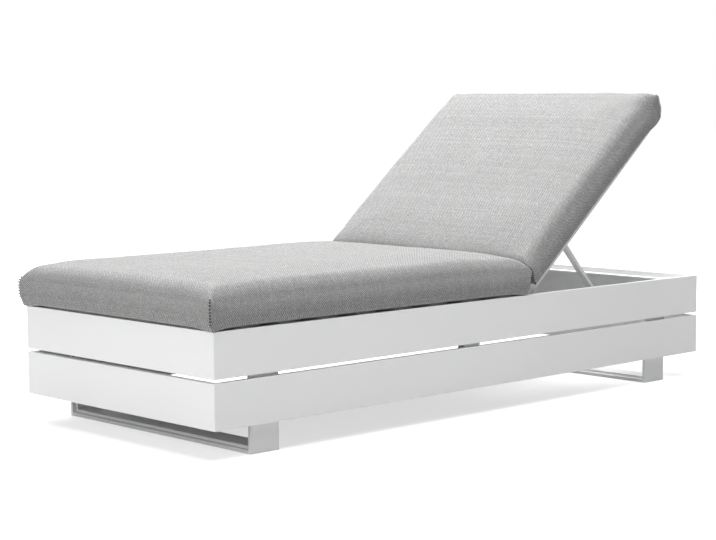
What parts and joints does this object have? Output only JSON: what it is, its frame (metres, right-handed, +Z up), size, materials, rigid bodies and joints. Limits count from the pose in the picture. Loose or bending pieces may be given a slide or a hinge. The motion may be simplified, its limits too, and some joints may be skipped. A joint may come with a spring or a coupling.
{
  "type": "sun lounger",
  "caption": "Low lounger with a plank plinth on sled legs, a slatted deck, thick cloth cushions and a back that tilts on hinges and is held by a prop in notched tracks.",
  "frame": {"origin": "on the floor, under the middle of the plinth", "axes": "+X towards the head end, +Y to the right of a person lying on it, +Z up"},
  "size_m": [2.016, 0.864, 0.9227],
  "materials": {
    "powder_coat": "satin",
    "cushion_cloth": "matte",
    "steel_fastener": "satin"
  },
  "bodies": {
    "base_frame": {"hinge_beam": "powder_coat", "hinge_bolt_left": "steel_fastener", "hinge_bolt_right": "steel_fastener", "hinge_ear_left": "powder_coat", "hinge_ear_right": "powder_coat", "ledge_foot": "powder_coat", "ledge_head": "powder_coat", "ledge_left": "powder_coat", "ledge_right": "powder_coat", "leg_foot_base": "powder_coat", "leg_foot_upright_left": "powder_coat", "leg_foot_upright_right": "powder_coat", "leg_head_base": "powder_coat", "leg_head_upright_left": "powder_coat", "leg_head_upright_right": "powder_coat", "mid_spacer_left": "powder_coat", "mid_spacer_right": "powder_coat", "prop_rack_left": "powder_coat", "prop_rack_right": "powder_coat", "rail_lower_foot": "powder_coat", "rail_lower_head": "powder_coat", "rail_lower_left": "powder_coat", "rail_lower_right": "powder_coat", "rail_upper_foot": "powder_coat", "rail_upper_head": "powder_coat", "rail_upper_left": "powder_coat", "rail_upper_right": "powder_coat", "seat_cushion": "cushion_cloth", "seat_slat_1": "powder_coat", "seat_slat_2": "powder_coat", "seat_slat_3": "powder_coat", "seat_slat_4": "powder_coat", "seat_slat_5": "powder_coat", "seat_slat_6": "powder_coat", "seat_slat_7": "powder_coat", "seat_slat_8": "powder_coat"},
    "backrest": {"back_bar_bottom": "powder_coat", "back_bar_top": "powder_coat", "back_cushion": "cushion_cloth", "back_slat_1": "powder_coat", "back_slat_2": "powder_coat", "back_slat_3": "powder_coat", "back_slat_4": "powder_coat", "back_slat_5": "powder_coat", "prop_lug_left": "powder_coat", "prop_lug_right": "powder_coat", "prop_pin_left": "steel_fastener", "prop_pin_right": "steel_fastener", "stile_left": "powder_coat", "stile_right": "powder_coat"},
    "prop": {"prop_arm_left": "powder_coat", "prop_arm_right": "powder_coat", "prop_foot_bar": "powder_coat"}
  },
  "joints": [
    {"name": "backrest_tilt", "type": "hinge", "parent": "base_frame", "child": "backrest", "pos_m": [0.208, 0, 0.3258], "axis": [0, -1, 0], "range_deg": [-40, 10]},
    {"name": "prop_swing", "type": "hinge", "parent": "backrest", "child": "prop", "pos_m": [0.40615, 0, 0.4764], "axis": [0, -1, 0], "range_deg": [-20, 78]}
  ],
  "couplings": [
    {"joint": "prop_swing", "follows": "backrest_tilt", "ratio": -1.945}
  ]
}
